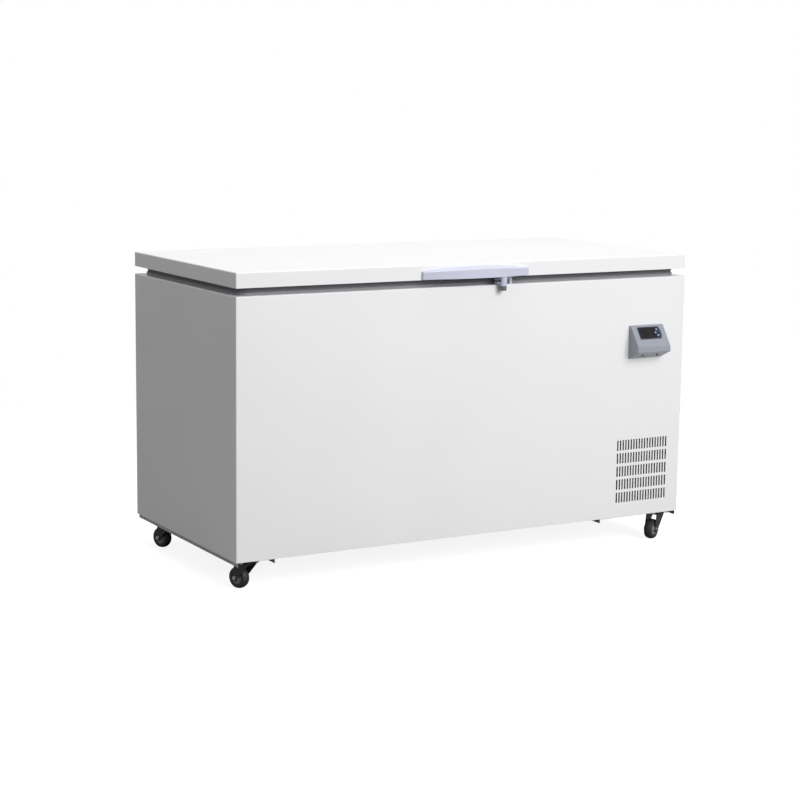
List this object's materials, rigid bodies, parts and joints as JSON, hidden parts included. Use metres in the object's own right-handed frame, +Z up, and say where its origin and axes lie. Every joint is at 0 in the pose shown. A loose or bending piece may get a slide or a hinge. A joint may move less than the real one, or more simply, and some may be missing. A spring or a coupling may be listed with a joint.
{
  "type": "laboratory chest freezer",
  "caption": "Low-temperature chest freezer on swivel casters: hinged foam-filled lid with bowed pull and key lock, stepped storage well, sloped controller pod, slotted grille.",
  "frame": {"origin": "on the floor under the tyres, below the centre of the whole object's bounding box with its lid shut", "axes": "+X from the user's left to the user's right, along the length; -Y towards the user at the front; +Z up"},
  "size_m": [1.53, 0.7949, 0.8985],
  "materials": {
    "white_paint": "satin",
    "galvanised": "satin",
    "liner_paint": "satin",
    "foam": "matte",
    "evaporator_tube": "satin",
    "rim_plastic": "satin",
    "lid_liner_plastic": "satin",
    "gasket_rubber": "matte",
    "handle_plastic": "gloss",
    "lock_metal": "gloss",
    "pressed_steel": "satin",
    "pod_plastic": "gloss",
    "bezel_plastic": "gloss",
    "window_plastic": "gloss",
    "key_plastic": "matte",
    "condenser_metal": "satin",
    "fan_plastic": "matte",
    "motor_paint": "satin",
    "compressor_paint": "satin",
    "mount_rubber": "matte",
    "cover_plastic": "matte",
    "copper": "satin",
    "gland_plastic": "matte",
    "caster_paint": "satin",
    "axle_steel": "satin",
    "wheel_plastic": "satin",
    "tyre_rubber": "matte"
  },
  "bodies": {
    "cabinet": {"front_panel": "white_paint", "left_side_panel": "white_paint", "right_side_panel": "white_paint", "rear_panel": "white_paint", "rear_vent_cover": "white_paint", "cord_gland": "gland_plastic", "bottom_panel": "galvanised", "compartment_lining": "galvanised", "inner_liner": "liner_paint", "evaporator_coil": "evaporator_tube", "cabinet_insulation": "foam", "rim_frame": "rim_plastic", "left_base_channel": "galvanised", "compressor_tray": "galvanised", "lock_keeper": "handle_plastic", "left_hinge_channel": "pressed_steel", "right_hinge_channel": "pressed_steel", "hinge_pins": "pressed_steel", "control_box": "pod_plastic", "controller": "bezel_plastic", "display_window": "window_plastic", "condenser": "condenser_metal", "fan_shroud": "galvanised", "fan_motor": "motor_paint", "compressor": "compressor_paint", "compressor_mounts": "mount_rubber", "terminal_cover": "cover_plastic", "filter_drier": "copper", "refrigerant_lines": "copper", "caster_plates": "caster_paint"},
    "lid": {"lid_shell": "white_paint", "lid_liner": "lid_liner_plastic", "lid_insulation": "foam", "lid_gasket": "gasket_rubber", "handle": "handle_plastic", "left_hinge_plate": "pressed_steel", "right_hinge_plate": "pressed_steel"},
    "lock": {"lock_barrel": "lock_metal", "lock_cam": "pressed_steel"},
    "key_up_cap": {"key_up": "key_plastic"},
    "key_set_cap": {"key_set": "key_plastic"},
    "key_down_cap": {"key_down": "key_plastic"},
    "fan_rotor": {"fan": "fan_plastic"},
    "caster_fl_swivel": {"caster_fl_fork": "caster_paint", "caster_fl_axle": "axle_steel"},
    "caster_fl_roller": {"caster_fl_wheel": "wheel_plastic", "caster_fl_tyre": "tyre_rubber"},
    "caster_fr_swivel": {"caster_fr_fork": "caster_paint", "caster_fr_axle": "axle_steel"},
    "caster_fr_roller": {"caster_fr_wheel": "wheel_plastic", "caster_fr_tyre": "tyre_rubber"},
    "caster_bl_swivel": {"caster_bl_fork": "caster_paint", "caster_bl_axle": "axle_steel"},
    "caster_bl_roller": {"caster_bl_wheel": "wheel_plastic", "caster_bl_tyre": "tyre_rubber"},
    "caster_br_swivel": {"caster_br_fork": "caster_paint", "caster_br_axle": "axle_steel"},
    "caster_br_roller": {"caster_br_wheel": "wheel_plastic", "caster_br_tyre": "tyre_rubber"}
  },
  "joints": [
    {"name": "lid_hinge", "type": "hinge", "parent": "cabinet", "child": "lid", "pos_m": [0, 0.3885, 0.852], "axis": [-1, 0, 0], "range_deg": [0, 75]},
    {"name": "lock_turn", "type": "hinge", "parent": "lid", "child": "lock", "pos_m": [0.086, -0.3615, 0.84], "axis": [0, 0, -1], "range_deg": [0, 90]},
    {"name": "key_up_press", "type": "slide", "parent": "cabinet", "child": "key_up_cap", "axis": [0, 0.8236, -0.5671], "range_m": [0, 0.0005], "stiffness_N_per_m": 600, "springref_m": -0.0005},
    {"name": "key_set_press", "type": "slide", "parent": "cabinet", "child": "key_set_cap", "axis": [0, 0.8236, -0.5671], "range_m": [0, 0.0005], "stiffness_N_per_m": 600, "springref_m": -0.0005},
    {"name": "key_down_press", "type": "slide", "parent": "cabinet", "child": "key_down_cap", "axis": [0, 0.8236, -0.5671], "range_m": [0, 0.0005], "stiffness_N_per_m": 600, "springref_m": -0.0005},
    {"name": "fan_spin", "type": "hinge", "parent": "cabinet", "child": "fan_rotor", "pos_m": [0.6206, -0.27375, 0.234], "axis": [0, 1, 0], "continuous": true},
    {"name": "caster_fl_swivel_turn", "type": "hinge", "parent": "cabinet", "child": "caster_fl_swivel", "pos_m": [-0.715, -0.3015, 0.088], "axis": [0, 0, 1], "continuous": true},
    {"name": "caster_fl_wheel_roll", "type": "hinge", "parent": "caster_fl_swivel", "child": "caster_fl_roller", "pos_m": [-0.72389, -0.27707, 0.0315], "axis": [0.9397, 0.342, 0], "continuous": true},
    {"name": "caster_fr_swivel_turn", "type": "hinge", "parent": "cabinet", "child": "caster_fr_swivel", "pos_m": [0.715, -0.3015, 0.088], "axis": [0, 0, 1], "continuous": true},
    {"name": "caster_fr_wheel_roll", "type": "hinge", "parent": "caster_fr_swivel", "child": "caster_fr_roller", "pos_m": [0.69183, -0.3133, 0.0315], "axis": [-0.454, 0.891, 0], "continuous": true},
    {"name": "caster_bl_swivel_turn", "type": "hinge", "parent": "cabinet", "child": "caster_bl_swivel", "pos_m": [-0.715, 0.2495, 0.088], "axis": [0, 0, 1], "continuous": true},
    {"name": "caster_bl_wheel_roll", "type": "hinge", "parent": "caster_bl_swivel", "child": "caster_bl_roller", "pos_m": [-0.72389, 0.27393, 0.0315], "axis": [0.9397, 0.342, 0], "continuous": true},
    {"name": "caster_br_swivel_turn", "type": "hinge", "parent": "cabinet", "child": "caster_br_swivel", "pos_m": [0.715, 0.2495, 0.088], "axis": [0, 0, 1], "continuous": true},
    {"name": "caster_br_wheel_roll", "type": "hinge", "parent": "caster_br_swivel", "child": "caster_br_roller", "pos_m": [0.69248, 0.2625, 0.0315], "axis": [0.5, 0.866, 0], "continuous": true}
  ]
}
